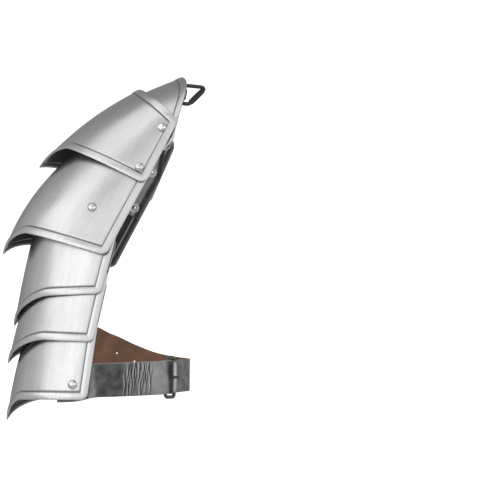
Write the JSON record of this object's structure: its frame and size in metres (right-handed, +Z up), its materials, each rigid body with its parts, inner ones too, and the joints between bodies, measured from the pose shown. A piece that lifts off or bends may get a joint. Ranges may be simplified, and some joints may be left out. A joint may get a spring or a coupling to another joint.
{
  "type": "pauldron",
  "caption": "Articulated plate pauldron for the wearer's right shoulder: polished lames on leather straps with a buckled arm strap and a ring at the neck edge.",
  "frame": {"origin": "inner face of the shoulder cap's crown, where the armour rests on the point of the shoulder", "axes": "+X towards the wearer's neck, +Y towards the wearer's back, +Z up"},
  "size_m": [0.2245, 0.1633, 0.3832],
  "materials": {
    "steel_plate": "satin polished",
    "rivet_steel": "polished",
    "dark_iron": "blackened",
    "black_leather": "black grain side, brown flesh side"
  },
  "bodies": {
    "armour": {"neck_plate": "steel_plate", "shoulder_cap": "steel_plate", "upper_arm_plate": "steel_plate", "arm_lame_1": "steel_plate", "arm_lame_2": "steel_plate", "arm_lame_3": "steel_plate", "edge_strap_front": "black_leather", "flank_strap_front": "black_leather", "edge_strap_back": "black_leather", "flank_strap_back": "black_leather", "arm_strap_front": "black_leather", "arm_strap_back": "black_leather", "neck_tab": "black_leather", "buckle_frame": "dark_iron", "buckle_tongue": "dark_iron", "upper_arm_rivet_front": "rivet_steel", "upper_arm_rivet_washer_front": "rivet_steel", "upper_arm_rivet_back": "rivet_steel", "upper_arm_rivet_washer_back": "rivet_steel", "lame_1_rivet_front": "rivet_steel", "lame_1_rivet_washer_front": "rivet_steel", "lame_1_rivet_back": "rivet_steel", "lame_1_rivet_washer_back": "rivet_steel", "lame_2_rivet_front": "rivet_steel", "lame_2_rivet_washer_front": "rivet_steel", "lame_2_rivet_back": "rivet_steel", "lame_2_rivet_washer_back": "rivet_steel", "cap_rivet_upper_front": "rivet_steel", "cap_rivet_upper_washer_front": "rivet_steel", "cap_rivet_lower_front": "rivet_steel", "cap_rivet_lower_washer_front": "rivet_steel", "neck_rivet_back": "rivet_steel", "neck_rivet_washer_back": "rivet_steel", "cap_rivet_back": "rivet_steel", "cap_rivet_washer_back": "rivet_steel", "upper_arm_edge_rivet_back": "rivet_steel", "upper_arm_edge_rivet_washer_back": "rivet_steel", "lame_3_rivet_front": "rivet_steel", "lame_3_rivet_washer_front": "rivet_steel", "arm_strap_rivet_back": "rivet_steel", "arm_strap_rivet_washer_back": "rivet_steel", "arm_strap_rivet_front": "rivet_steel", "arm_strap_rivet_washer_front": "rivet_steel", "neck_tab_rivet_front": "rivet_steel", "neck_tab_rivet_washer_front": "rivet_steel"},
    "ring": {"neck_ring": "dark_iron"}
  },
  "joints": [
    {"name": "neck_ring_hinge", "type": "hinge", "parent": "armour", "child": "ring", "pos_m": [0.08317, -0.04581, 0.00872], "axis": [-0.1063, -0.6788, -0.7266], "range_deg": [-90, 30]}
  ]
}
